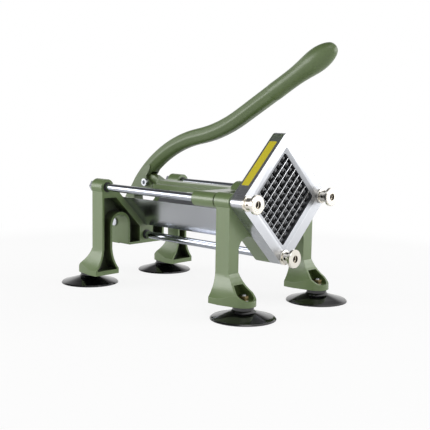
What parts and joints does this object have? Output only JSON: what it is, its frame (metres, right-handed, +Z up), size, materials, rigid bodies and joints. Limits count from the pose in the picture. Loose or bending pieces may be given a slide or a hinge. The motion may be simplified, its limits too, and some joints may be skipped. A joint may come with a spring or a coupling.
{
  "type": "french fry cutter",
  "caption": "Bench-top lever press that pushes a potato through a square blade grid, on suction feet.",
  "frame": {"origin": "on the table under the middle of the bounding box", "axes": "+Z up, +Y from the blades to the rear, +X to the right seen from the front"},
  "size_m": [0.2152, 0.3865, 0.3135],
  "materials": {
    "green_paint": "olive green gloss paint on cast metal",
    "chromed_steel": "polished hard chrome on ground steel",
    "stainless_sheet": "brushed stainless sheet",
    "cast_aluminium": "satin cast aluminium",
    "pusher_aluminium": "black-coated cast aluminium",
    "black_plastic": "black moulded nylon",
    "cup_rubber": "glossy black rubber",
    "brass": "yellow passivated nut",
    "zinc_steel": "bright zinc-plated steel"
  },
  "bodies": {
    "frame": {"front_frame": "green_paint", "rear_frame": "green_paint", "guide_rod_left": "chromed_steel", "guide_rod_right": "chromed_steel", "lower_rod": "chromed_steel", "rod_nuts": "zinc_steel", "rod_washers": "zinc_steel", "rod_ring_left": "black_plastic", "rod_ring_right": "black_plastic", "rod_ring_lower": "black_plastic", "trough": "stainless_sheet", "foot_pin": "zinc_steel", "pin_spacers": "zinc_steel", "pin_clips": "zinc_steel", "blade_frame_front": "cast_aluminium", "blade_frame_back": "cast_aluminium", "blades_rising": "stainless_sheet", "blades_falling": "stainless_sheet", "blade_frame_screws": "zinc_steel", "suction_cup_front_left": "cup_rubber", "suction_cup_front_right": "cup_rubber", "suction_cup_rear_left": "cup_rubber", "suction_cup_rear_right": "cup_rubber", "cup_studs": "zinc_steel", "cup_nuts": "brass", "cup_washers": "zinc_steel"},
    "carriage": {"carriage": "green_paint", "bush_front_left": "black_plastic", "bush_front_right": "black_plastic", "bush_rear_left": "black_plastic", "bush_rear_right": "black_plastic", "pusher_block": "pusher_aluminium", "pusher_screws": "zinc_steel"},
    "lever": {"handle": "green_paint", "handle_bolt": "zinc_steel", "handle_nut": "zinc_steel", "handle_washer": "zinc_steel"},
    "left_nut": {"thumb_nut_left": "zinc_steel"},
    "right_nut": {"thumb_nut_right": "zinc_steel"},
    "bottom_nut": {"thumb_nut_bottom": "zinc_steel"}
  },
  "joints": [
    {"name": "carriage_slide", "type": "slide", "parent": "frame", "child": "carriage", "axis": [0, 1, 0], "range_m": [0, 0.084]},
    {"name": "lever_pivot", "type": "hinge", "parent": "carriage", "child": "lever", "pos_m": [0, 0.10671, 0.137], "axis": [-1, 0, 0], "range_deg": [0, 75]},
    {"name": "left_nut_turn", "type": "hinge", "parent": "frame", "child": "left_nut", "pos_m": [-0.06932, -0.13529, 0.1325], "axis": [0, -1, 0], "continuous": true},
    {"name": "right_nut_turn", "type": "hinge", "parent": "frame", "child": "right_nut", "pos_m": [0.06932, -0.13529, 0.1325], "axis": [0, -1, 0], "continuous": true},
    {"name": "bottom_nut_turn", "type": "hinge", "parent": "frame", "child": "bottom_nut", "pos_m": [0, -0.13529, 0.06318], "axis": [0, -1, 0], "continuous": true}
  ],
  "couplings": [
    {"joint": "carriage_slide", "follows": "lever_pivot", "m_per_rad": 0.06417}
  ]
}
